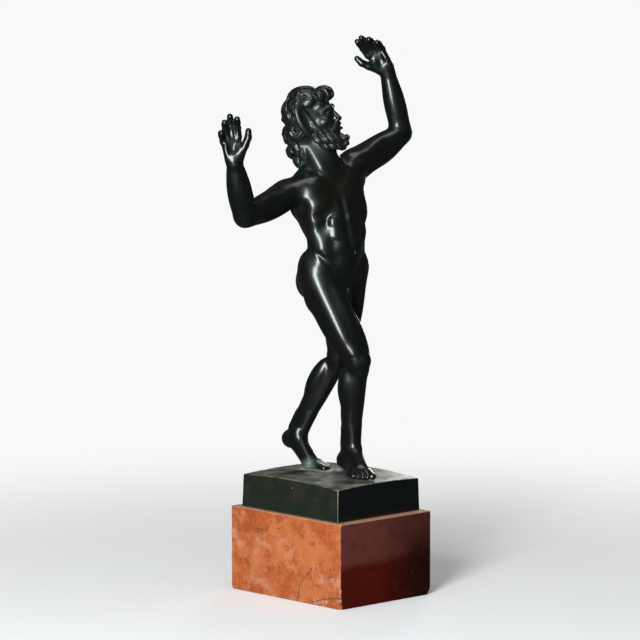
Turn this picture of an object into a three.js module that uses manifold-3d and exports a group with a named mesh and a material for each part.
// Bronze faun statuette: a striding, dancing faun cast in one piece, on a domed bronze base
// that stands on a marble plinth. Millimetres, +Z up. The origin is the middle of the plinth's
// underside. The faun faces -Y, so his right side is towards -X.
import * as THREE from 'three';
import { mergeVertices } from 'three/addons/utils/BufferGeometryUtils.js';
import Module from 'manifold-3d';

// Plinth and base. The base's sides lean in by its taper from the foot to the top edge.
const PLINTH = { width: 81, depth: 105, height: 55.5, bevel: 0.8 };
const BASE = { width: 74, depth: 92, edgeHeight: 21.2, domeRadius: 528, bevel: 0.5, taper: 0.6 };
// Broken corners of the plinth: which corner, and how far the break reaches along X, Y and Z
const CHIPS = [
  { corner: [-1, -1], reach: [2.2, 2.6, 4.2] },
  { corner: [1, -1], reach: [3.4, 2.8, 5.6] },
  { corner: [-1, 1], reach: [1.6, 2.2, 3.4] },
];
const DOME_TOP = PLINTH.height + BASE.edgeHeight + BASE.domeRadius
  - Math.sqrt(BASE.domeRadius ** 2 - (BASE.width / 2) ** 2 - (BASE.depth / 2) ** 2);
const SOLE_GAP = 0.3;

// The figure's modelling grid, the distance where its clay ends, and the facets that it keeps
const STEP = 1.0;
const FAR = 5;
const FIGURE_FACES = 9300;

// The pose: joints of a figure about 262 mm tall that walks on the base with both arms raised.
// Fold and girth are for the triceps and the forearm, calf is for the calf muscles.
const HIPS = [0.2, -1.5, 215.0];
const WAIST = [1.0, -3.2, 236.0];
const CHEST = [-0.9, -0.3, 254.0];
const COLLAR = [-3.6, 4.7, 277.0];
const HEAD = [-7.8, 10.2, 310.4];
const HEAD_SCALE = 1.07;
const FACE_AHEAD = 1.3;
const GAZE = [0.60, -0.74, 0.36];
const CROWN = [-0.02, 0.10, 1.0];
const RIGHT = {
  outside: [-1, 0, 0],
  hip: [-13.2, -1.0, 213.6], knee: [1.5, -24.8, 155.5], ankle: [10.4, -8.7, 96.1],
  heel: [12.3, -0.5, 85.6], ball: [0.6, -26.4, 82.5], toes: [-3.6, -38.1, 81.4],
  shoulder: [-27.6, 9.9, 263.8], elbow: [-71.4, 5.2, 253.6], wrist: [-87.6, -3.4, 291.0],
  palm: [-0.60, -0.78, 0.10], fingers: [-0.14, 0.10, 0.98],
  curl: [[10, 16, 12], [6, 16, 12], [14, 24, 16], [26, 34, 22]], spread: [6, 1, -4, -9],
  fold: 2.0, girth: 1.03, calf: 1.14,
};
const LEFT = {
  outside: [1, 0, 0],
  hip: [14.3, -3.6, 216.4], knee: [12.0, 4.7, 154.6], ankle: [3.7, 35.6, 101.1],
  heel: [5.1, 45.2, 95.6], ball: [2.0, 18.4, 82.7], toes: [3.8, 7.0, 81.4],
  shoulder: [19.3, 0.3, 279.8], elbow: [58.8, -5.4, 300.2], wrist: [46.0, -4.3, 342.0],
  palm: [-0.62, -0.74, -0.25], fingers: [-0.52, 0.22, 0.82],
  curl: [[4, 12, 10], [10, 18, 12], [18, 24, 16], [24, 28, 18]], spread: [4, 1, -2, -6],
  fold: 7.2, girth: 0.88, calf: 0.94,
};
// Clay left round a leg, the toes, a hand and the head, and the length of a hand
const LEG_MARGIN = 23;
const TOE_MARGIN = 14;
const HAND_MARGIN = 24;
const HAND_REACH = 34;
const HEAD_MARGIN = 38;
// How far along the line from hip to ankle the knee bends away, and the half length of its cap
const KNEE_SHARE = 0.49;
const KNEE_REACH = 6;
// The front of the chest, and the direction of an upper arm's outer side
const CHEST_FRONT = [-0.2, -1, 0];
const ARM_OUTSIDE = [-0.15, -1, 0];
// Blends, in millimetres: each limb with the trunk, then smaller parts with their limb
const BLENDS = { arm: 4, leg: 5, head: 1.6, hand: 3.5, toes: 1.2, fingers: 0.9, thumb: 1.4, hair: 0.3 };

const vector = (v) => (v.isVector3 ? v.clone() : new THREE.Vector3(...v));
const norm = (x, y, z) => Math.sqrt(x * x + y * y + z * z);
const lerp = THREE.MathUtils.lerp;
const radians = THREE.MathUtils.degToRad;

// A lock of hair: steps between two of its points, and its radius for its width
const LOCK_STEPS = 4;
const LOCK_FULLNESS = 0.85;
// A curl of hair for a size of 1: its turns, thickness, rise, and first and last radius
const CURL = { turns: 0.95, tube: 0.43, lift: 0.28, outer: 0.76, inner: 0.12, points: 9,
  slant: [0.13, 0.21, 0.97] };

// Curls differ a little in height and size by a number from -1 to 1 that depends only on n
const CURL_SHIFT = 0.8;
const CURL_GROWTH = 0.06;
const jitter = (n) => {
  const wave = Math.sin(n * 12.9898) * 43758.5453;
  return 2 * (wave - Math.floor(wave)) - 1;
};

const smoothUnion = (a, b, blend) => {
  const h = Math.min(1, Math.max(0, 0.5 + (0.5 * (b - a)) / blend));
  return b + (a - b) * h - blend * h * (1 - h);
};

// A block of modelling clay: signed distances on a grid, below zero inside the form
class Clay {
  constructor(low, high) {
    this.low = vector(low).divideScalar(STEP).floor().multiplyScalar(STEP);
    this.size = vector(high).sub(this.low).divideScalar(STEP).ceil().addScalar(1);
    this.field = new Float32Array(this.size.x * this.size.y * this.size.z).fill(FAR);
  }

  static around(points, margin) {
    const box = new THREE.Box3().setFromPoints(points.map(vector)).expandByScalar(margin);
    return new Clay(box.min, box.max);
  }

  index(x, y, z) {
    return x + this.size.x * (y + this.size.y * z);
  }

  // Works shape(x, y, z), a distance, into the clay around a centre
  press(centre, reach, shape, blend, carve) {
    const first = centre.clone().sub(reach).sub(this.low).divideScalar(STEP).floor();
    const last = centre.clone().add(reach).sub(this.low).divideScalar(STEP).ceil();
    first.max(new THREE.Vector3());
    last.min(this.size.clone().subScalar(1));
    for (let z = first.z; z <= last.z; z++) {
      for (let y = first.y; y <= last.y; y++) {
        for (let x = first.x; x <= last.x; x++) {
          const at = this.index(x, y, z);
          const d = shape(this.low.x + x * STEP, this.low.y + y * STEP, this.low.z + z * STEP);
          const old = this.field[at];
          this.field[at] = carve ? -smoothUnion(-old, d, blend) : smoothUnion(old, d, blend);
        }
      }
    }
  }

  // An ellipsoid with the given unit axes
  egg(centre, axes, radii, blend, carve = false) {
    const reach = new THREE.Vector3();
    for (const i of ['x', 'y', 'z']) {
      reach[i] = Math.hypot(...axes.map((axis, n) => axis[i] * radii[n])) + FAR + STEP;
    }
    const [a, b, c] = axes;
    const [ra, rb, rc] = radii;
    this.press(centre, reach, (px, py, pz) => {
      const x = px - centre.x;
      const y = py - centre.y;
      const z = pz - centre.z;
      const u = (x * a.x + y * a.y + z * a.z) / ra;
      const v = (x * b.x + y * b.y + z * b.z) / rb;
      const w = (x * c.x + y * c.y + z * c.z) / rc;
      const k0 = norm(u, v, w);
      const k1 = norm(u / ra, v / rb, w / rc);
      return k1 < 1e-6 ? -Math.min(ra, rb, rc) : (k0 * (k0 - 1)) / k1;
    }, blend, carve);
  }

  // A round bar from a to b that changes its radius on the way
  rod(a, b, radiusA, radiusB, blend, carve = false) {
    const way = b.clone().sub(a);
    const length2 = way.lengthSq();
    const centre = a.clone().add(b).multiplyScalar(0.5);
    const margin = Math.max(radiusA, radiusB) + FAR + STEP;
    const reach = new THREE.Vector3(...way.toArray().map((w) => Math.abs(w) / 2 + margin));
    this.press(centre, reach, (px, py, pz) => {
      const x = px - a.x;
      const y = py - a.y;
      const z = pz - a.z;
      const t = Math.min(1, Math.max(0, (x * way.x + y * way.y + z * way.z) / length2));
      const radius = lerp(radiusA, radiusB, t);
      return norm(x - t * way.x, y - t * way.y, z - t * way.z) - radius;
    }, blend, carve);
  }

  // Joins another block on the same grid to this one
  take(other, join) {
    const shift = other.low.clone().sub(this.low).divideScalar(STEP).round();
    const first = shift.clone().max(new THREE.Vector3());
    const last = shift.clone().add(other.size).min(this.size);
    for (let z = first.z; z < last.z; z++) {
      for (let y = first.y; y < last.y; y++) {
        for (let x = first.x; x < last.x; x++) {
          const at = this.index(x, y, z);
          const from = other.index(x - shift.x, y - shift.y, z - shift.z);
          this.field[at] = join(this.field[at], other.field[from]);
        }
      }
    }
    return this;
  }

  merge(other, blend) {
    return this.take(other, (a, b) => smoothUnion(a, b, blend));
  }

  add(other) {
    return this.take(other, Math.min);
  }
}

// A local frame on the clay: z along a bone, y to its front and x to the figure's outside
class Bone {
  constructor(clay, from, to, front, outside, scale = 1) {
    this.clay = clay;
    this.origin = vector(from);
    this.scale = scale;
    const z = vector(to).sub(this.origin);
    this.length = z.length();
    z.normalize();
    const y = vector(front);
    y.addScaledVector(z, -y.dot(z)).normalize();
    const x = y.clone().cross(z);
    if (x.dot(vector(outside)) < 0) x.negate();
    this.axes = [x, y, z];
  }

  turn(v) {
    const [x, y, z] = vector(v).toArray();
    const [a, b, c] = this.axes;
    return a.clone().multiplyScalar(x).addScaledVector(b, y).addScaledVector(c, z);
  }

  at(p) {
    return this.turn(p).multiplyScalar(this.scale).add(this.origin);
  }

  egg(centre, radii, blend = 1.5, { carve = false, turned = [0, 0, 0] } = {}) {
    const euler = new THREE.Euler(...turned.map(radians), 'ZYX');
    const unit = [[1, 0, 0], [0, 1, 0], [0, 0, 1]].map((e) => this.turn(vector(e).applyEuler(euler)));
    this.clay.egg(this.at(centre), unit, radii.map((r) => r * this.scale), blend, carve);
  }

  rod(a, b, radiusA, radiusB, blend = 1.5, carve = false) {
    this.clay.rod(this.at(a), this.at(b), radiusA * this.scale, radiusB * this.scale, blend, carve);
  }

  // An egg from a to b, so wide across and so thick towards the side that it faces
  muscle(a, b, wide, thick, blend = 1.5, { face = null, carve = false } = {}) {
    const from = this.at(a);
    const to = this.at(b);
    const middle = [(a[0] + b[0]) / 2, (a[1] + b[1]) / 2, 0];
    const onAxis = Math.hypot(...middle) < 0.3;
    const along = to.clone().sub(from).normalize();
    const out = this.turn(face ?? (onAxis ? [0, 1, 0] : middle));
    out.addScaledVector(along, -out.dot(along)).normalize();
    const half = to.distanceTo(from) / 2;
    const radii = [half, wide * this.scale, thick * this.scale];
    const across = out.clone().cross(along);
    this.clay.egg(from.add(to).multiplyScalar(0.5), [along, across, out], radii, blend, carve);
  }
}

const near = (point, x, y, z) => vector(point).add(new THREE.Vector3(x, y, z));

// Rib cage, chest muscles, ribs and the arch over the belly
function makeChest(chest) {
  chest.egg([2, 0, -1], [21.6, 16, 24], 4);
  chest.egg([0.4, -1, 13], [24.5, 12, 12], 4);
  for (const s of [-1, 1]) {
    chest.muscle([s * 2.5, 10.6, 9], [s * 22, 8.6, 10], 9.6, 5.8, 3, { face: [s * 0.3, 1, -0.05] });
    chest.muscle([s * 4, 11.6, 2.5], [s * 20, 9.2, 5.5], 6.4, 4.8, 2.6, { face: [s * 0.35, 1, -0.3] });
    chest.muscle([s * 8, 9.6, 12], [s * 28, 3, 15], 8, 6.2, 3.5, { face: [s * 0.3, 1, 0] });
    chest.egg([s * 9, 4.5, 19], [13, 7, 6], 5);
    chest.egg([s * 17, 4.6, -3], [5.8, 7, 11], 5);
    for (let rib = 0; rib < 4; rib++) {
      const z = -4.5 - 5.2 * rib;
      const front = [s * (14.6 - 1.1 * rib) + 0.8, 11 - 0.4 * rib, z - 3.2];
      chest.muscle([s * (19.4 - 1.2 * rib) + 0.8, 4.6 - 0.6 * rib, z + 2.4], front, 2.5, 2.2, 2);
    }
    chest.muscle([s * 2.6, 14, -5], [s * 14.6, 10, -20], 3, 2.2, 4);
  }
}

// Back muscles, shoulder blades, shoulder slopes and the two columns beside the spine
function makeBack(chest) {
  for (const s of [-1, 1]) {
    chest.muscle([s * 21.5, -3.5, 12], [s * 11.5 + 1, -9, -24], 8.6, 5, 4);
    chest.egg([s * 12.5, -11.6, 6], [9.8, 4.6, 10.5], 4.5);
    chest.muscle([s * 6.5, -13.4, 12], [s * 20, -9.8, 2], 3, 2.4, 3.4);
    chest.muscle([s * 3, -4, 29.5], [s * 23, -2.5, 18], 6.5, 5, 5);
    chest.muscle([s * 2, -11, 24], [s * 5, -13.6, -8], 6.5, 3.6, 3.6);
    chest.muscle([s * 4.6, -12.2, 2], [s * 5.2, -12.8, -34], 4.4, 4.2, 3.4);
  }
}

// The belly with its three rows, and the flanks
function makeBelly(chest, pelvis) {
  const BELLY_ROWS = [[-9, 5.4, 5, 13.8], [-17.6, 5.6, 5, 13.3], [-25.6, 5.2, 4.8, 12.2]];
  chest.egg([-0.6, 5.4, -22], [12.6, 9.8, 16], 5);
  pelvis.egg([0.6, 7, 8], [12.2, 9.8, 23], 5);
  for (const s of [-1, 1]) {
    for (const [z, wide, high, y] of BELLY_ROWS) {
      chest.egg([s * 4.8 - 0.6, y, z], [wide, 3, high], 2);
    }
    chest.muscle([s * 15.8 - 2, 3, -9], [s * 13.2 - 3, 4, -30], 7.2, 5.6, 4.5);
    pelvis.egg([s * 12.6 - 0.6, 3, 12], [7, 8.8, 8], 5);
  }
}

// Groin, hips and buttocks
function makeHips(pelvis) {
  for (const s of [-1, 1]) {
    pelvis.muscle([s * 15, 4.5, 8], [s * 5, 10.4, -12], 4.8, 3.4, 4.5);
    pelvis.muscle([s * 12.2, 2, 13], [s * 13.8, -2, -28], 8.6, 6, 5);
    pelvis.egg([s * 8.5, -10.8, -10], [10, 9.2, 12.6], 3.6);
    pelvis.muscle([s * 6, -8.6, 11], [s * 12, -12, -2], 7, 5, 4);
  }
}

// Middle line of the front, the spine, the navel and the lines of the groin
function carveCreases(chest, pelvis) {
  chest.rod([0, 17.4, 12], [0, 17.9, -6], 0.8, 0.7, 3.6, true);
  chest.rod([-0.6, 18, -7], [-0.8, 17, -29], 0.6, 0.6, 3.2, true);
  chest.rod([0, -18.4, 18], [0, -18.6, -32], 1.6, 1.5, 4.8, true);
  pelvis.egg([0.8, 17.6, 13], [0.9, 1.5, 1.2], 1, { carve: true });
  pelvis.rod([0, -22, -2], [0, -19.5, -21], 1.3, 1.5, 2, true);
  for (const s of [-1, 1]) {
    chest.rod([s * 4.5, 18.4, -4.4], [s * 19, 13, -3], 0.9, 0.9, 2.8, true);
    pelvis.rod([s * 20.5, 7.5, 10], [s * 13.4, 13.6, 1], 0.9, 1, 2.8, true);
    pelvis.rod([s * 13.4, 13.6, 1], [s * 6, 15.6, -10], 1, 0.9, 2.8, true);
  }
}

// The small parts in front, and the faun's short tail behind
function makeLoins(pelvis) {
  pelvis.egg([0, 10.6, -11], [6.4, 4, 4.4], 1.8);
  pelvis.egg([0, 13, -11.5], [5.2, 3.6, 3.8], 1.8);
  pelvis.egg([-1.7, 15.2, -16.4], [2.3, 2.6, 3.2], 0.7);
  pelvis.egg([1.7, 15, -16], [2.3, 2.6, 3], 0.7);
  pelvis.rod([0, 17, -12.4], [0.2, 18.3, -17.2], 1.6, 1.3, 0.5);
  pelvis.rod([0, -14, 11], [0.6, -19.5, 12], 2.3, 2.1, 1.6);
  pelvis.rod([0.6, -19.5, 12], [1, -23, 8], 2.3, 1.8, 0.8);
  pelvis.rod([1, -23, 8], [1, -24, 4], 1.8, 0.6, 0.8);
}

// The neck, with a muscle from each ear to the collar
function makeNeck(clay) {
  clay.rod(near(COLLAR, 2.6, -1, -3), near(HEAD, 3.3, 0.8, -5.6), 11.6, 10.2, 5);
  clay.rod(near(HEAD, -8.4, 4, -7), near(COLLAR, -3.4, -9.5, -3), 3.6, 2, 4);
  clay.rod(near(HEAD, 5.5, 9.5, -7), near(COLLAR, 3.4, -9.5, -3), 3.6, 2, 4);
}

function makeTrunk() {
  const clay = new Clay([-48, -36, 182], [48, 38, 312]);
  const pelvis = new Bone(clay, HIPS, WAIST, [0, -1, 0], [1, 0, 0]);
  const chest = new Bone(clay, CHEST, COLLAR, CHEST_FRONT, [1, 0, 0]);
  pelvis.egg([0.6, -0.5, -1], [19, 13, 15], 4);
  clay.rod(near(HIPS, 0, 0, 6), near(WAIST, 1.2, 0, 0), 14, 12.6, 6);
  clay.rod(near(WAIST, 0.8, 0, -4), near(CHEST, 0.5, 0, 0), 12.6, 15, 6);
  clay.rod(near(WAIST, 3.6, 0, -4), near(CHEST, 4, 0, 0), 14, 15.5, 6);
  makeChest(chest);
  makeBack(chest);
  makeBelly(chest, pelvis);
  makeHips(pelvis);
  carveCreases(chest, pelvis);
  makeLoins(pelvis);
  makeNeck(clay);
  return clay;
}

// Thigh: core, hip, outer, front, inner and rear muscles
function makeThigh(thigh, length) {
  thigh.rod([0.5, 0, 2], [0, 0.5, length - 4], 11.8, 7, 2);
  thigh.egg([1, -1.6, 6], [9.4, 11.6, 20], 5);
  thigh.muscle([5.4, 2.5, 6], [4.4, 2.5, length - 4], 7, 6, 3);
  thigh.muscle([1.4, 7.4, 0], [0.2, 5.4, length - 5], 6, 6, 1.8);
  thigh.muscle([-5, 4.6, 24], [-4.8, 3.8, length + 1], 5.6, 5, 2.4);
  thigh.muscle([-7, -1, 0], [-4, -0.5, length - 12], 8, 7, 3);
  thigh.muscle([4.6, -8, 3], [4.2, -4.2, length - 2], 7.2, 6.6, 3.4);
  thigh.muscle([-3.6, -7.4, 0], [-4.2, -4, length - 2], 6.8, 6, 3.4);
  thigh.muscle([6.6, 1, -8], [6.8, 1.6, length - 12], 4.8, 4.2, 5);
}

// Lower leg: knee, core, calf, front and outer muscles, tendon and ankle bones
function makeShank(shank, length, calf) {
  shank.egg([-3.6, -0.5, 0.5], [4.6, 6, 6.2], 2.6);
  shank.egg([3.6, -0.5, 0.5], [4.4, 5.8, 6], 2.6);
  shank.rod([0, 5.2, 4], [0, 4, 12], 2.3, 2.2, 2.4);
  shank.rod([0, 0.6, 2], [0, 0.3, length + 1], 6.3, 4.2, 2);
  shank.muscle([-3.6, -4.2, 4], [-2.6, -5, length * 0.58], 6 * calf, 6.4 * calf, 1.8);
  shank.muscle([3.6, -4.2, 3], [2.6, -4.8, length * 0.54], 5.8 * calf, 6 * calf, 1.8);
  shank.muscle([0, -3.4, 8], [0, -3.8, length - 8], 6.2 * calf, 5 * calf, 3);
  shank.muscle([2.8, 2, 3], [0.8, 1.2, length - 12], 4, 3.4, 3);
  shank.muscle([-1.4, 2.2, 4], [-1, 1, length - 8], 3, 2.6, 3);
  shank.muscle([4.6, -0.4, 4], [3.2, -1.6, length - 8], 3.6, 3.4, 2.6);
  shank.rod([0, 0.8, length - 15], [0, 2.4, length - 1], 3, 3.6, 5);
  shank.rod([0, -4.4, length * 0.60], [0, -5.4, length - 1], 3, 2, 3);
  shank.egg([-4, 0.3, length - 2], [2.2, 2.8, 3], 2.4);
  shank.egg([4.1, -1.2, length + 0.3], [2, 2.5, 2.8], 2.4);
}

function makeLeg(side) {
  const { hip, knee, ankle, heel, ball, toes, outside } = side;
  const points = [hip, knee, ankle, heel, ball, toes, [hip[0], hip[1], DOME_TOP]];
  const clay = Clay.around(points, LEG_MARGIN);
  const front = vector(knee).sub(vector(hip).lerp(vector(ankle), KNEE_SHARE));
  const thigh = new Bone(clay, hip, knee, front, outside);
  const shank = new Bone(clay, knee, ankle, front, outside);
  makeThigh(thigh, thigh.length);
  const towards = (p) => {
    const way = vector(p).sub(vector(knee)).normalize();
    return vector(knee).addScaledVector(way, KNEE_REACH);
  };
  const kneecap = new Bone(clay, towards(hip), towards(ankle), front, outside);
  kneecap.egg([0, 7.2, 5], [4.6, 3.8, 5.4], 1.6);
  kneecap.rod([0, 6.2, 8], [0, 3.4, 14], 2.2, 1.8, 3.5);
  kneecap.egg([-3.2, 3.2, 12], [2.6, 2.6, 3.4], 3.5);
  kneecap.egg([3.2, 3, 12], [2.6, 2.6, 3.4], 3.5);
  kneecap.egg([4, 2, 1], [3.8, 5, 8], 4.5);
  const heelReach = vector(heel).sub(shank.origin);
  const [heelX, heelY, heelZ] = shank.axes.map((axis) => axis.dot(heelReach));
  shank.rod([0, -4.6, shank.length - 11], [heelX, heelY + 0.6, heelZ - 2.5], 2.3, 3.4, 5);
  makeShank(shank, shank.length, side.calf);
  makeFoot(clay, side);
  return clay;
}

function makeFoot(clay, { ankle, heel, ball, toes, outside }) {
  const foot = new Bone(clay, heel, ball, [0, 0, 1], outside);
  const { length } = foot;
  const reach = vector(ankle).sub(foot.origin);
  const top = foot.axes.map((axis) => axis.dot(reach));
  const above = (x, y, z) => [top[0] + x, top[1] + y, top[2] + z];

  foot.egg([0, 0.5, -0.1], [4.2, 4.6, 5], 3.2);
  foot.rod([0, 1.8, 3], [-0.4, 0.4, length - 3], 3.5, 3.1, 3);
  foot.rod(above(0, -3.4, 0), [-1, 1, length - 2], 3.9, 3, 5);
  foot.rod(above(-1, -2.6, 4), [-2.8, 1.2, length - 2], 3.7, 3, 5);
  foot.rod(above(0, -5, -0.6), [0, 1, 1.5], 3.9, 4.6, 5);
  foot.rod([-1, 2.4, 8], [-3.8, -0.1, length + 0.5], 3.8, 3.1, 3);
  foot.rod([2.2, -0.6, 4], [5, -0.9, length - 1.2], 3.2, 2.4, 3);
  foot.rod([-4.2, 0, length], [5, -0.6, length - 1.6], 2.9, 2.3, 2.2);

  // Toes, from the big one outwards: root, tip and their radii
  const row = Clay.around([ball, toes], TOE_MARGIN);
  const front = new Bone(row, ball, toes, [0, 0, 1], outside);
  const TOES = [
    [[-4.4, 0.9, -4], [-4.3, -0.3, 12], 2.6, 2.3],
    [[-1.8, 1.5, -4], [-0.9, -0.6, 12], 2.1, 1.65],
    [[0.5, 1.3, -4.4], [1.9, -0.7, 10.6], 2, 1.6],
    [[2.6, 0.8, -5], [4.4, -0.8, 8.6], 1.9, 1.55],
    [[4.5, 0.1, -6], [6.6, -0.9, 5.8], 1.8, 1.55],
  ];
  for (const [root, tip, thick, thin] of TOES) {
    const joint = root.map((r, i) => lerp(r, tip[i], 0.62));
    joint[1] += 0.75;
    front.rod(root, joint, thick, thin * 0.95, 0.25);
    front.rod(joint, tip, thin * 0.95, thin, 0.25);
  }
  clay.merge(row, BLENDS.toes);
}

const thumbSide = ({ palm, fingers, outside }) =>
  vector(fingers).cross(vector(palm)).multiplyScalar(-Math.sign(outside[0]));

// Upper arm: core, shoulder cap, biceps, triceps, side muscles and elbow
function makeUpperArm(arm, length, fold) {
  arm.rod([0, -0.5, 0], [0, -0.5, length - 3], 7.2, 5.8, 2);
  arm.muscle([3.6, 1.5, -9], [1.8, 0.8, 26], 7.6, 7.4, 3, { face: [1, 0.6, 0] });
  arm.muscle([-3.8, 1.5, -9], [-1.6, 1.2, 25], 7.4, 7.2, 3, { face: [-1, 0.6, 0] });
  arm.egg([0, 2, 1], [9.2, 8.4, 10.5], 3);
  arm.muscle([0, -5, -14], [0, -5.6, 20], 6, fold, 4);
  arm.muscle([0.5, 4, 10], [0, 1.8, length - 4], 6.2, 5.4, 3);
  const back = 5.2 + 0.2 * fold;
  arm.muscle([2.6, -4.8, 3], [1.8, -4, length - 2], 6.2, back, 2.6);
  arm.muscle([-2.6, -5, 4], [-2, -4.2, length - 1], 6.4, back, 2.6);
  arm.muscle([3.6, 0.2, 18], [3.2, 0, length], 3.8, 3.4, 2.6);
  arm.muscle([-3.6, 0, 20], [-3, 0, length], 3.4, 3, 2.6);
  arm.egg([0, -1.2, length - 0.4], [5.8, 5.2, 5.8], 5);
  arm.egg([2.6, -0.4, length - 6.5], [5, 5.6, 9], 5);
  arm.egg([0, -3.8, length + 0.4], [2.8, 2.4, 3.2], 4);
}

// Forearm: core, wrist, and the muscles on the thumb, palm, outer and back sides
function makeForearm(arm, length) {
  arm.rod([0, 0, 0], [0, 0, length - 2], 5.6, 4.2, 4);
  arm.rod([1.3, 0, length - 8], [1.3, 0, length + 1], 3.4, 3.3, 3);
  arm.rod([-1.3, 0, length - 8], [-1.3, 0, length + 1], 3.4, 3.3, 3);
  arm.muscle([3, 0.8, -3], [2.4, 0.6, length * 0.80], 5.2, 5, 4.5);
  arm.muscle([-1.4, 2.4, -1], [-0.8, 1.5, length * 0.88], 5.4, 4.6, 4);
  arm.muscle([-3.2, 0.4, 0], [-2.3, 0.2, length * 0.86], 4.6, 4.4, 4);
  arm.muscle([0, -2.4, 0], [0.2, -1.4, length * 0.86], 5.4, 4.6, 4);
  arm.egg([-2.6, -2.2, length - 1.5], [1.7, 1.7, 2.2], 2);
}

function makeArm(side) {
  const { shoulder, elbow, wrist, palm, fingers, girth } = side;
  const tips = vector(wrist).addScaledVector(vector(fingers).normalize(), HAND_REACH);
  const clay = Clay.around([shoulder, elbow, wrist, tips], HAND_MARGIN);
  const bend = vector(wrist).sub(vector(elbow));
  const upper = new Bone(clay, shoulder, elbow, bend, ARM_OUTSIDE);
  const lower = new Bone(clay, elbow, wrist, palm, thumbSide(side), girth);
  makeUpperArm(upper, upper.length, side.fold);
  makeForearm(lower, lower.length / girth);
  return clay.merge(makeHand(side), BLENDS.hand);
}

// Fingers from the first to the last: knuckle, root at the wrist, lengths of three bones, radius
const FINGERS = [
  [[4.9, -0.4, 14.2], [2.6, 0, 1.5], [6, 4, 3], 2.65],
  [[1.7, -0.8, 15.2], [0.9, -0.3, 1.5], [6.6, 4.3, 3.2], 2.7],
  [[-1.6, -0.6, 14.6], [-0.9, -0.3, 1.5], [6.2, 4, 3.1], 2.6],
  [[-4.7, -0.1, 13], [-2.6, 0, 1.5], [5, 3.2, 2.6], 2.35],
];

function makeHand(side) {
  const { wrist, palm, fingers, curl, spread } = side;
  const tips = vector(wrist).addScaledVector(vector(fingers).normalize(), HAND_REACH);
  const block = () => Clay.around([wrist, tips], HAND_MARGIN);
  const frame = (clay) => new Bone(clay, wrist, tips, palm, thumbSide(side));

  // Palm, with the balls of the thumb and of the little finger
  const clay = block();
  const hand = frame(clay);
  hand.rod([0, 0, -2], [0, 0, 3], 3.7, 3.9, 2);
  for (const [knuckle, root] of FINGERS) hand.rod(root, knuckle, 2.7, 2.15, 1.6);
  hand.egg([0, 0.3, 8.5], [5.4, 2.2, 6.5], 1.5);
  hand.egg([4.2, 2, 5.6], [2.9, 2.4, 5], 1.4, { turned: [0, -14, 0] });
  hand.egg([-3.9, 1.8, 6.4], [2.3, 2.2, 5.6], 1.4);
  hand.egg([0, 5.2, 9.4], [2.8, 1.8, 4.2], 2.4, { carve: true });

  // Fingers
  const fingerClay = block();
  const fan = frame(fingerClay);
  FINGERS.forEach(([knuckle, , bones, radius], n) => {
    let from = vector(knuckle);
    let bend = 0;
    const aside = radians(spread[n]);
    bones.forEach((bone, i) => {
      bend += radians(curl[n][i]);
      const way = [Math.sin(aside) * Math.cos(bend), Math.sin(bend), Math.cos(aside) * Math.cos(bend)];
      const to = from.clone().addScaledVector(vector(way), bone);
      const thick = radius * (1 - 0.09 * i);
      const thin = radius * (1 - 0.09 * (i + 1));
      fan.rod(from, to, thick, thin, 0.4);
      fan.egg(from, [thick * 1.04, thick * 1.04, thick], 0.5);
      from = to;
    });
  });
  clay.merge(fingerClay, BLENDS.fingers);

  // Thumb
  const thumbClay = block();
  const thumb = frame(thumbClay);
  const joints = [[3.4, 1.2, 2.6], [8.2, 2.8, 8.6], [11, 3.2, 13], [12, 2.6, 17]];
  thumb.rod(joints[0], joints[1], 3.3, 2.8, 1);
  thumb.rod(joints[1], joints[2], 2.6, 2.4, 0.6);
  thumb.rod(joints[2], joints[3], 2.4, 2, 0.6);
  return clay.merge(thumbClay, BLENDS.thumb);
}

const headFrame = (clay, ahead = 0) => {
  const gaze = vector(GAZE).normalize();
  const crown = vector(CROWN);
  crown.addScaledVector(gaze, -crown.dot(gaze)).normalize();
  const left = crown.clone().cross(gaze);
  const start = vector(HEAD).addScaledVector(gaze, ahead);
  return new Bone(clay, start, start.clone().add(crown), gaze, left, HEAD_SCALE);
};

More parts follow.
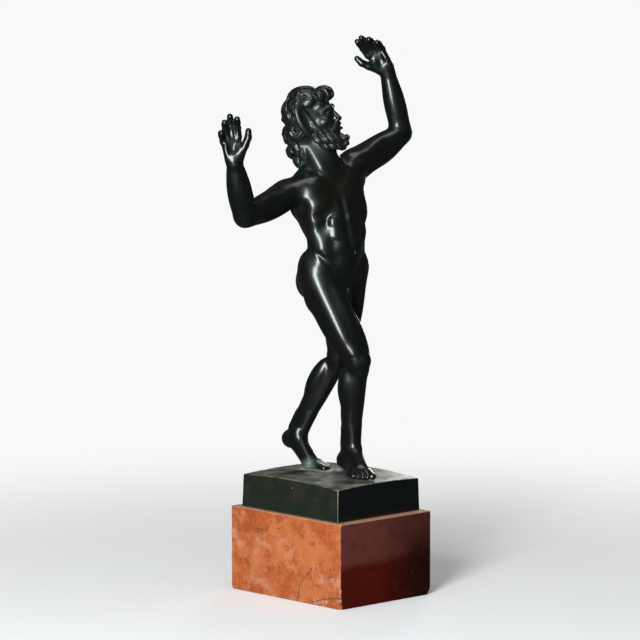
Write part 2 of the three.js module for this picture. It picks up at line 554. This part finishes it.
function makeHead() {
  const clay = Clay.around([HEAD], HEAD_MARGIN);
  const head = headFrame(clay);
  // Skull, face, jaw, chin, forehead, brows and cheeks
  head.egg([0, -2.5, 3.2], [11.4, 13.6, 12.6], 2);
  head.egg([0, 3.6, -2], [10, 10.2, 11.6], 3);
  head.egg([0, 5.8, -9.6], [8, 8.2, 7.2], 2.5);
  head.egg([0, 10.6, -13.6], [4.4, 4.2, 3.6], 2);
  head.egg([0, 8.4, 6.4], [9, 6, 5.6], 2.5);
  head.egg([0, 14.4, 3], [1.7, 1, 1.5], 1.2);
  for (const s of [-1, 1]) {
    head.rod([s * 1.6, 14.6, 2.7], [s * 4.8, 14.2, 4], 1.25, 1.45, 1.2);
    head.rod([s * 4.8, 14.1, 3.9], [s * 8.6, 10.2, 2.6], 1.4, 0.9, 1.8);
    head.egg([s * 7, 8.6, -3.4], [3.6, 4, 3], 3);
    head.muscle([s * 2.6, 13.4, -4.2], [s * 6.8, 10.4, -8.4], 1.7, 1.4, 1.3, { face: [s * 0.4, 1, 0.1] });
  }
  // Eye sockets, eyeballs, nose and parted lips
  const face = headFrame(clay, FACE_AHEAD);
  for (const s of [-1, 1]) {
    face.egg([s * 4.3, 13.5, 0.6], [3, 2.1, 1.9], 1, { carve: true });
    face.egg([s * 4.3, 10.6, 0.4], [2.5, 2.3, 2.1], 0.2);
  }
  face.rod([0, 12.7, 2.4], [0, 14.3, -1.6], 1.05, 1.3, 0.9);
  face.rod([0, 14.3, -1.6], [0, 15.4, -4.2], 1.3, 1.65, 0.9);
  face.egg([0, 15.3, -4.4], [1.9, 1.6, 1.5], 0.7);
  face.egg([0, 12.4, -8.6], [4, 2.6, 3], 1.4);
  face.rod([-2.4, 14.2, -8.9], [2.4, 14.2, -8.9], 0.8, 0.8, 0.4, true);
  for (const s of [-1, 1]) face.egg([s * 1.95, 14.4, -4.9], [1.3, 1.7, 1.25], 0.5);
  // The long pointed ears with their hollows
  for (const s of [-1, 1]) {
    const side = [s, 0.75, 0];
    head.muscle([s * 10.6, -1, -9.6], [s * 14.8, -3, 11.6], 4.9, 2.3, 0.9, { face: side });
    head.muscle([s * 12.6, 0.9, -6.4], [s * 16, -1.2, 8.8], 3, 2, 0.4, { face: side, carve: true });
  }
  return clay.merge(makeHair(), BLENDS.hair);
}

// A lock of hair along a smooth line of points, thickest in its middle
function lock(head, points, wide, { start = 0.6, end = 0.3, blend = 0.3 } = {}) {
  const line = new THREE.CatmullRomCurve3(points.map(vector));
  const steps = LOCK_STEPS * (points.length - 1);
  const places = line.getPoints(steps);
  const thick = (f) => LOCK_FULLNESS * wide
    * (lerp(start, end, f) + (1 - (start + end) / 2) * Math.sin(Math.PI * f));
  for (let i = 0; i < steps; i++) {
    head.rod(places[i], places[i + 1], thick(i / steps), thick((i + 1) / steps), blend);
  }
}

// A curl that winds in over the head to a raised middle, with the hair's mass under it
function curl(head, centre, normal, size, start, hand) {
  const { turns, tube, lift, outer, inner, points } = CURL;
  const n = vector(normal).normalize();
  const u = n.clone().cross(vector(CURL.slant)).normalize();
  const v = n.clone().cross(u);
  const middle = vector(centre);
  head.egg(middle.clone().addScaledVector(n, -size).toArray(), [size, size, size], 0.6);
  const winding = Array.from({ length: points }, (_, i) => {
    const f = i / (points - 1);
    const angle = start + hand * 2 * Math.PI * turns * f;
    const radius = size * lerp(outer, inner, f);
    return middle.clone()
      .addScaledVector(u, Math.cos(angle) * radius)
      .addScaledVector(v, Math.sin(angle) * radius)
      .addScaledVector(n, size * lift * f);
  });
  lock(head, winding, size * tube, { start: 0.55, end: 0.6 });
}

function makeHair() {
  const clay = Clay.around([HEAD], HEAD_MARGIN);
  const head = headFrame(clay);
  // The mass under the locks: skull, nape, crown, brow and chin
  head.egg([0, -2.4, 4.6], [11.2, 11.6, 12.9], 1);
  head.egg([0, -7.4, -4.5], [10.4, 8.2, 11], 2.5);
  head.egg([0, -11.2, -14.5], [7.8, 5.6, 8.6], 2.5);
  head.egg([0, 1.6, 16.4], [7.6, 8.6, 3.9], 1.2);
  head.egg([0, 8.4, 12.6], [8.6, 3.8, 3.6], 1.2);
  head.egg([0, 6.5, -14], [7.6, 8.5, 4], 1.5);
  head.egg([0, 14.6, -16.4], [1.9, 2.2, 2.8], 0.8);
  for (const s of [-1, 1]) {
    head.egg([s * 3.1, 12, 12.2], [2.7, 3.6, 3.3], 0.8);
    head.egg([s * 5.6, -1.5, 15.6], [4.4, 6, 3.6], 0.8);
    head.egg([s * 7, 10.6, 10.8], [2.5, 2.5, 2.6], 0.8);
    head.egg([s * 8.4, 2.4, 10.8], [3.4, 5.4, 4], 0.8);
  }
  // Waves that sweep up from the brow, and curls over the crown
  for (const s of [-1, 1]) {
    const side = (...points) => points.map(([x, y, z]) => [s * x, y, z]);
    lock(head, side([2.2, 9.6, 14.6], [2.6, 6, 18], [2.4, 0, 20], [2, -5.6, 19.4], [3.6, -9.8, 16]), 3);
    lock(head, side([5.6, 10.6, 11.6], [7, 6.4, 15.6], [7, 1.6, 18], [9, -1.2, 16.4]), 2.8);
    curl(head, [s * 6.4, -3.6, 17.4], [s * 0.5, -0.3, 0.8], 5.4, 2.2 + s, s);
    curl(head, [s * 10.6, -3.6, 12.4], [s * 0.8, -0.24, 0.54], 5.4, 0.6 - s, -s);
    curl(head, [s * 6.2, -11, 12.8], [s * 0.46, -0.74, 0.5], 5.6, 1.8 * s, s);
    curl(head, [s * 9.6, 4.6, 12], [s * 0.84, 0.3, 0.45], 3.7, 2.4 - s, -s);
    // Tufts that roll forward over the forehead and the temple
    lock(head, side([2.4, 8.2, 14.6], [3.4, 12, 16.2], [4, 15.8, 14.4], [3.9, 16.4, 10.8],
      [2.6, 14.4, 9.4]), 2.9, { start: 0.7, end: 0.4 });
    lock(head, side([7, 8, 13.4], [8, 10.8, 14.2], [8.6, 12.4, 12.2], [8, 11.8, 10]), 2.3,
      { start: 0.7, end: 0.4 });
    // Hair in front of the ear, and the moustache
    lock(head, side([9.9, 2.2, 1.8], [10.3, 1.8, -2.2], [10.2, 3.2, -6], [9.9, 5.4, -8.2]), 2.1);
    lock(head, side([0.7, 14.6, -6.3], [2.6, 14.5, -7.1], [4.8, 13, -9.2], [6.4, 11.4, -10.8],
      [7.9, 10.7, -9.9]), 1.55, { start: 0.8, end: 0.3 });
    // The two curls of the chin
    lock(head, side([1.4, 12.4, -13], [2.2, 14.4, -15.4], [2.4, 15.8, -17.4], [1.6, 17.6, -17]), 2.1,
      { start: 0.8, end: 0.5 });
    lock(head, side([1.2, 12.6, -16.4], [2.4, 14.2, -19], [2.2, 15.6, -20.6], [1.2, 16.8, -19.6]), 2.1,
      { start: 0.8, end: 0.5 });
    makeBeardRows(head, s);
  }
  makeNapeTiers(head);
  return clay;
}

// Tiers of big curls behind the ears and down the nape: height, width and depth of the ring they
// lie on, where it is centred, angles from the face, and their size
function makeNapeTiers(head) {
  const TIERS = [
    { height: 8.2, wide: 12, deep: 12.2, middle: -2.4, angles: [180, 139, 100], size: 5.6 },
    { height: -2.8, wide: 11.8, deep: 15, middle: -2.6, angles: [160, 118], size: 7.4 },
    { height: -13.4, wide: 10.6, deep: 14.6, middle: -4, angles: [180, 142], size: 5.9 },
    { height: -20.4, wide: 7.4, deep: 13, middle: -4.6, angles: [161], size: 4.6 },
  ];
  TIERS.forEach(({ height, wide, deep, middle, angles, size }, t) => {
    angles.forEach((angle, i) => {
      for (const s of angle === 180 ? [1] : [-1, 1]) {
        const a = s * radians(angle);
        const level = height + CURL_SHIFT * jitter(t * 7 + i * s);
        const centre = [wide * Math.sin(a), middle + deep * Math.cos(a), level];
        const normal = [(Math.sin(a) * deep) / wide, Math.cos(a), 0.08];
        const start = 1.3 * i + 2.2 * t + (s > 0 ? 0 : 1.6);
        const grown = size * (1 + CURL_GROWTH * jitter(t + 3 * i + s));
        curl(head, centre, normal, grown, start, (i + t) % 2 ? s : -s);
      }
    });
  });
}

// How far round the jaw, in radians, the beard goes from the ear to the chin
const JAW_ARC = 1.35;

// Short hooked locks along the jaw, and a second row below it
function makeBeardRows(head, s) {
  const ROWS = [
    { count: 5, shift: 0, share: 4.2, half: 9.9, back: 1, deep: 12.2, top: -7.6, fall: 5.6,
      heart: [0, 2, -4], level: 1, wide: 2.1, out: [-0.6, 1.2, 1.9, 1.5, 0.9],
      down: [0, 1.8, 4.2, 6, 5.2], ahead: [0, -0.5, 0.2, 1.9, 3.2] },
    { count: 4, shift: 0.5, share: 4, half: 7.6, back: 1.6, deep: 10.4, top: -12.6, fall: 4.4,
      heart: [0, 3, -6], level: 0.5, wide: 2, out: [-0.6, 0.8, 1.6, 1.8, 1.6],
      down: [0, 2.2, 4.4, 5.4, 4], ahead: [0, -0.7, 0.6, 2.4, 3.2] },
  ];
  for (const row of ROWS) {
    for (let j = 0; j < row.count; j++) {
      const f = (j + row.shift) / row.share;
      const turn = JAW_ARC * f;
      const root = new THREE.Vector3(s * row.half * Math.cos(turn), row.back + row.deep * Math.sin(turn),
        row.top - row.fall * f);
      const outward = root.clone().sub(vector(row.heart)).normalize();
      outward.z *= row.level;
      const forward = new THREE.Vector3(-s * Math.sin(turn), Math.cos(turn), 0);
      const points = row.out.map((out, i) => root.clone().addScaledVector(outward, out)
        .addScaledVector(forward, row.ahead[i]).add(new THREE.Vector3(0, 0, -row.down[i])));
      lock(head, points, row.wide, { start: 0.7, end: 0.45 });
    }
  }
}

// The whole figure: each limb flows into the trunk, but not into another limb
function sculptFigure() {
  const clay = new Clay([-112, -52, 74], [74, 58, 384]);
  const trunk = makeTrunk();
  const join = (limb, blend) => clay.add(limb.merge(trunk, blend));
  clay.add(trunk);
  for (const side of [RIGHT, LEFT]) {
    join(makeArm(side), BLENDS.arm);
    join(makeLeg(side), BLENDS.leg);
  }
  join(makeHead(), BLENDS.head);
  // The soles follow the dome of the base
  const ground = new THREE.Vector3(0, 0, DOME_TOP - BASE.domeRadius);
  const sole = BASE.domeRadius + SOLE_GAP;
  const below = (x, y, z) => norm(x - ground.x, y - ground.y, z - ground.z) - sole;
  clay.press(new THREE.Vector3(0, 0, DOME_TOP), new THREE.Vector3(60, 60, 9), below, 0.01, true);
  return clay;
}

// A vertex keeps this share of a grid edge between itself and either end
const EDGE_SHARE = 0.05;
// Six tetrahedra that fill a grid cell; bit 1 of a corner is +X, bit 2 is +Y and bit 4 is +Z
const TETRAHEDRA = [
  [0, 1, 3, 7], [0, 5, 1, 7], [0, 3, 2, 7], [0, 2, 6, 7], [0, 4, 5, 7], [0, 6, 4, 7],
];
// Even orders of a tetrahedron's corners that put the corners inside the form first
const ORDERS = {
  1: [0, 1, 2, 3], 2: [1, 0, 3, 2], 4: [2, 3, 0, 1], 8: [3, 2, 1, 0],
  3: [0, 1, 2, 3], 5: [0, 2, 3, 1], 9: [0, 3, 1, 2], 6: [1, 2, 0, 3], 10: [1, 3, 2, 0], 12: [2, 3, 0, 1],
};

// The surface of the clay as triangles: one vertex where an edge of the grid crosses it
function skin(clay) {
  const { field, low, size } = clay;
  const corner = [0, 1, 2, 3, 4, 5, 6, 7].map((c) => clay.index(c & 1, (c >> 1) & 1, c >> 2));
  const positions = [];
  const faces = [];
  const seen = new Map();
  const vertex = (cell, p, q) => {
    const [a, b] = (p & q) === p ? [p, q] : [q, p];
    const start = cell + corner[a];
    const key = start * 8 + (a ^ b);
    if (!seen.has(key)) {
      const end = cell + corner[b];
      const crossing = field[start] / (field[start] - field[end]);
      const t = Math.min(1 - EDGE_SHARE, Math.max(EDGE_SHARE, crossing));
      const x = start % size.x;
      const y = Math.floor(start / size.x) % size.y;
      const z = Math.floor(start / (size.x * size.y));
      const axes = a ^ b;
      const place = new THREE.Vector3(x + t * (axes & 1), y + t * ((axes >> 1) & 1), z + t * (axes >> 2));
      seen.set(key, positions.length);
      positions.push(place.multiplyScalar(STEP).add(low));
    }
    return seen.get(key);
  };
  for (let z = 0; z < size.z - 1; z++) {
    for (let y = 0; y < size.y - 1; y++) {
      for (let x = 0; x < size.x - 1; x++) {
        const cell = clay.index(x, y, z);
        let inside = 0;
        for (let c = 0; c < 8; c++) if (field[cell + corner[c]] < 0) inside |= 1 << c;
        if (inside === 0 || inside === 255) continue;
        for (const tetrahedron of TETRAHEDRA) {
          let mask = 0;
          tetrahedron.forEach((c, i) => { if ((inside >> c) & 1) mask |= 1 << i; });
          if (mask === 0 || mask === 15) continue;
          const count = [0, 1, 2, 3].filter((i) => (mask >> i) & 1).length;
          const [i, j, k, l] = ORDERS[count === 3 ? 15 - mask : mask].map((n) => tetrahedron[n]);
          const cut = (p, q) => vertex(cell, p, q);
          if (count === 1) faces.push([cut(i, j), cut(i, k), cut(i, l)]);
          if (count === 3) faces.push([cut(i, j), cut(i, l), cut(i, k)]);
          if (count === 2) {
            const [a, b, c, d] = [cut(i, k), cut(i, l), cut(j, l), cut(j, k)];
            faces.push([a, b, c], [a, c, d]);
          }
        }
      }
    }
  }
  return { positions, faces };
}

// Keeps the largest closed shell
function largestShell({ positions, faces }) {
  const parent = positions.map((_, i) => i);
  const root = (i) => {
    while (parent[i] !== i) {
      parent[i] = parent[parent[i]];
      i = parent[i];
    }
    return i;
  };
  for (const [a, b, c] of faces) {
    parent[root(a)] = root(b);
    parent[root(b)] = root(c);
  }
  const count = new Map();
  for (const [a] of faces) count.set(root(a), (count.get(root(a)) ?? 0) + 1);
  const best = [...count.entries()].sort((a, b) => b[1] - a[1])[0][0];
  return { positions, faces: faces.filter(([a]) => root(a) === best) };
}

// Facets are thinned by these: the weight of an edge's length, the least cosine by which a face
// may turn, and the least share of its longest side squared that it keeps as twice its area
const LENGTH_WEIGHT = 1e-5;
const LEAST_COSINE = 0.3;
const LEAST_FATNESS = 0.06;

// Collapses the edges that matter least, by the squared distance to the planes they stood for,
// until so many faces are left. The surface stays closed.
function thin({ positions, faces }, target) {
  const P = positions;
  const around = P.map(() => new Set());
  faces.forEach((face, f) => face.forEach((v) => around[v].add(f)));
  const normalOf = (a, b, c) => b.clone().sub(a).cross(c.clone().sub(a));
  const quadrics = P.map(() => new Float64Array(10));
  for (const [a, b, c] of faces) {
    const n = normalOf(P[a], P[b], P[c]);
    const area = n.length() / 2;
    if (area < 1e-9) continue;
    n.normalize();
    const { x, y, z } = n;
    const d = -n.dot(P[a]);
    const q = [x * x, x * y, x * z, x * d, y * y, y * z, y * d, z * z, z * d, d * d];
    for (const v of [a, b, c]) q.forEach((term, i) => { quadrics[v][i] += term * area; });
  }
  const errorAt = (q, { x, y, z }) => q[0] * x * x + 2 * q[1] * x * y + 2 * q[2] * x * z + 2 * q[3] * x
    + q[4] * y * y + 2 * q[5] * y * z + 2 * q[6] * y + q[7] * z * z + 2 * q[8] * z + q[9];
  // The point with the least error, or the best of the ends and the middle
  const bestPoint = (q, a, b) => {
    const det = q[0] * (q[4] * q[7] - q[5] * q[5]) - q[1] * (q[1] * q[7] - q[5] * q[2])
      + q[2] * (q[1] * q[5] - q[4] * q[2]);
    const choices = [a.clone().lerp(b, 0.5), a, b];
    const trace = q[0] + q[4] + q[7];
    if (Math.abs(det) > 1e-4 * trace ** 3) {
      const m = new THREE.Matrix3(q[0], q[1], q[2], q[1], q[4], q[5], q[2], q[5], q[7]).invert();
      const p = new THREE.Vector3(-q[3], -q[6], -q[8]).applyMatrix3(m);
      if (p.distanceTo(choices[0]) < 2 * a.distanceTo(b)) choices.unshift(p);
    }
    return choices.reduce((best, p) => (errorAt(q, p) < errorAt(q, best) - 1e-12 ? p : best));
  };

  const heap = [];
  const version = new Uint32Array(P.length);
  const swap = (i, j) => { [heap[i], heap[j]] = [heap[j], heap[i]]; };
  const push = (item) => {
    let i = heap.push(item) - 1;
    while (i > 0 && heap[(i - 1) >> 1].cost > heap[i].cost) {
      swap(i, (i - 1) >> 1);
      i = (i - 1) >> 1;
    }
  };
  const pop = () => {
    const top = heap[0];
    const last = heap.pop();
    if (heap.length > 0) {
      heap[0] = last;
      for (let i = 0; ;) {
        const [l, r] = [2 * i + 1, 2 * i + 2];
        let least = i;
        if (l < heap.length && heap[l].cost < heap[least].cost) least = l;
        if (r < heap.length && heap[r].cost < heap[least].cost) least = r;
        if (least === i) break;
        swap(i, least);
        i = least;
      }
    }
    return top;
  };
  const consider = (a, b) => {
    const q = quadrics[a].map((term, i) => term + quadrics[b][i]);
    const point = bestPoint(q, P[a], P[b]);
    const cost = errorAt(q, point) + LENGTH_WEIGHT * P[a].distanceToSquared(P[b]);
    push({ cost, a, b, point, stamp: version[a] + version[b] });
  };
  const neighbours = (v) => {
    const found = new Set();
    for (const f of around[v]) for (const w of faces[f]) if (w !== v) found.add(w);
    return found;
  };
  // A collapse may not fold a face over or make a sliver of it
  const keepsShape = (v, other, point) => {
    for (const f of around[v]) {
      if (faces[f].includes(other)) continue;
      const before = normalOf(...faces[f].map((w) => P[w]));
      const corners = faces[f].map((w) => (w === v ? point : P[w]));
      const after = normalOf(...corners);
      const longest = Math.max(...corners.map((c, i) => c.distanceToSquared(corners[(i + 1) % 3])));
      if (after.dot(before) < LEAST_COSINE * after.length() * before.length()) return false;
      if (after.length() < LEAST_FATNESS * longest) return false;
    }
    return true;
  };

  let left = faces.length;
  faces.forEach(([a, b, c]) => [[a, b], [b, c], [c, a]].forEach(([u, v]) => { if (u < v) consider(u, v); }));
  while (left > target && heap.length > 0) {
    const { a, b, point, stamp } = pop();
    if (stamp !== version[a] + version[b] || around[a].size === 0 || around[b].size === 0) continue;
    const nearA = neighbours(a);
    if (!nearA.has(b)) continue;
    const shared = [...neighbours(b)].filter((w) => nearA.has(w));
    if (shared.length !== 2 || !keepsShape(a, b, point) || !keepsShape(b, a, point)) continue;
    for (const f of [...around[b]]) {
      if (faces[f].includes(a)) {
        faces[f].forEach((w) => around[w].delete(f));
        faces[f] = null;
        left -= 1;
      } else {
        faces[f] = faces[f].map((w) => (w === b ? a : w));
        around[a].add(f);
      }
    }
    around[b].clear();
    P[a] = point;
    quadrics[a] = quadrics[a].map((term, i) => term + quadrics[b][i]);
    version[a] += 1;
    version[b] += 1;
    for (const w of neighbours(a)) consider(a, w);
  }
  return { positions: P, faces: faces.filter(Boolean) };
}

function toGeometry({ positions, faces }) {
  const geometry = new THREE.BufferGeometry();
  const used = [...new Set(faces.flat())];
  const place = new Map(used.map((v, i) => [v, i]));
  const coordinates = used.flatMap((v) => positions[v].toArray());
  geometry.setAttribute('position', new THREE.Float32BufferAttribute(coordinates, 3));
  geometry.setIndex(faces.flat().map((v) => place.get(v)));
  geometry.computeVertexNormals();
  return geometry;
}

function makeFigure() {
  return toGeometry(thin(largestShell(skin(sculptFigure())), FIGURE_FACES));
}

// The base: a low cast block with leaning sides, bevelled edges and a softly domed top
function makeBase() {
  const { width, depth, domeRadius, bevel, taper } = BASE;
  const block = new THREE.BoxGeometry(width, depth, 1, 6, 8, 3);
  const place = block.attributes.position;
  const domeHeight = (x, y) => DOME_TOP - domeRadius + Math.sqrt(domeRadius ** 2 - x * x - y * y);
  for (let i = 0; i < place.count; i++) {
    const level = Math.round((place.getZ(i) + 0.5) * 3);
    const inset = [bevel, 0, taper, taper + bevel][level];
    const x = place.getX(i) * (1 - (2 * inset) / width);
    const y = place.getY(i) * (1 - (2 * inset) / depth);
    const top = domeHeight(x, y);
    const z = [PLINTH.height, PLINTH.height + bevel, top - bevel, top][level];
    place.setXYZ(i, x, y, z);
  }
  return block;
}

// The plinth: a marble block with bevelled edges and broken lower corners
async function makePlinth() {
  const wasm = await Module();
  wasm.setup();
  const toManifold = (source) => {
    const bare = source.clone();
    bare.deleteAttribute('normal');
    bare.deleteAttribute('uv');
    const merged = mergeVertices(bare, 1e-4);
    const vertProperties = Float32Array.from(merged.attributes.position.array);
    const triVerts = Uint32Array.from(merged.index.array);
    return new wasm.Manifold(new wasm.Mesh({ numProp: 3, vertProperties, triVerts }));
  };
  const { width, depth, height, bevel } = PLINTH;
  const outline = new THREE.Shape();
  const [x, y] = [width / 2 - bevel, depth / 2 - bevel];
  outline.moveTo(-x, -y).lineTo(x, -y).lineTo(x, y).lineTo(-x, y).closePath();
  const block = new THREE.ExtrudeGeometry(outline, {
    depth: height - 2 * bevel, bevelSize: bevel, bevelThickness: bevel, bevelSegments: 1,
  });
  block.translate(0, 0, bevel);
  let plinth = toManifold(block);
  for (const { corner, reach } of CHIPS) {
    const chip = new THREE.OctahedronGeometry(1, 0);
    chip.scale(...reach);
    chip.translate((corner[0] * width) / 2, (corner[1] * depth) / 2, 0);
    plinth = plinth.subtract(toManifold(chip));
  }
  const { vertProperties, triVerts } = plinth.getMesh();
  const geometry = new THREE.BufferGeometry();
  geometry.setAttribute('position', new THREE.BufferAttribute(vertProperties, 3));
  geometry.setIndex(new THREE.BufferAttribute(triVerts, 1));
  return geometry;
}

const patinatedBronze = { color: 0x1d2420, roughness: 0.32, metalness: 0.9 };
const redMarble = { color: 0xb5623a, roughness: 0.38, metalness: 0 };
const statuette = new THREE.Group();
const addPiece = (name, geometry, finish) => {
  const piece = new THREE.Mesh(geometry, new THREE.MeshStandardMaterial(finish));
  piece.name = name;
  statuette.add(piece);
};
addPiece('marble_plinth', await makePlinth(), redMarble);
addPiece('bronze_base', makeBase(), patinatedBronze);
addPiece('faun_figure', makeFigure(), patinatedBronze);

export default statuette;
